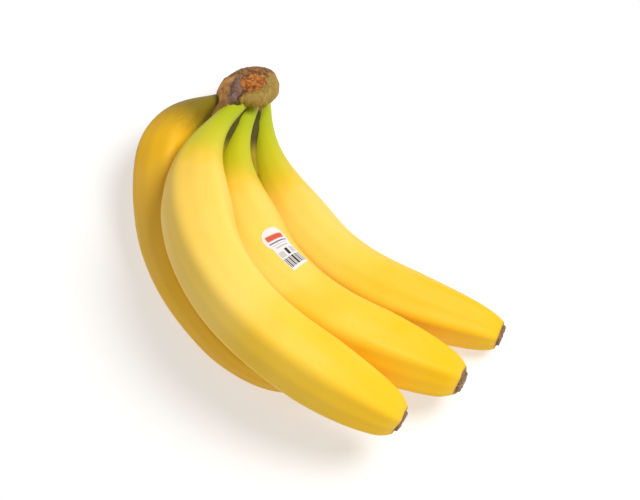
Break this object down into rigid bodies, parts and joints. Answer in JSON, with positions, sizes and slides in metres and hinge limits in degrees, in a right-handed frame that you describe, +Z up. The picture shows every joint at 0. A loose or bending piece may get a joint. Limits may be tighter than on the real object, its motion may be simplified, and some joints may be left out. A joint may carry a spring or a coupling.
{
  "type": "bunch of bananas",
  "caption": "Hand of ripe yellow bananas joined at a brown crown with lime-green necks and a plain paper label, lying on its side.",
  "frame": {"origin": "centre of the bunch's bounding box in X and Y, at the level of the surface that it lies on", "axes": "+Z up; +X to the right of the side that shows the label, towards the tips; +Y away from that side, towards the crown"},
  "size_m": [0.201, 0.2032, 0.0866],
  "materials": {
    "peel": "smooth waxy banana peel, yellow with a lime-green neck and a dark dry blossom scar; satin",
    "crown": "dry brown crown bark with a rough orange-brown fibrous cut face; matt",
    "label": "thin white paper label with plain printed bars and no lettering; low gloss"
  },
  "bodies": {
    "root": {"banana_back": "peel", "banana_front": "peel", "banana_middle": "peel", "banana_right": "peel", "crown": "crown", "label": "label"}
  },
  "joints": []
}
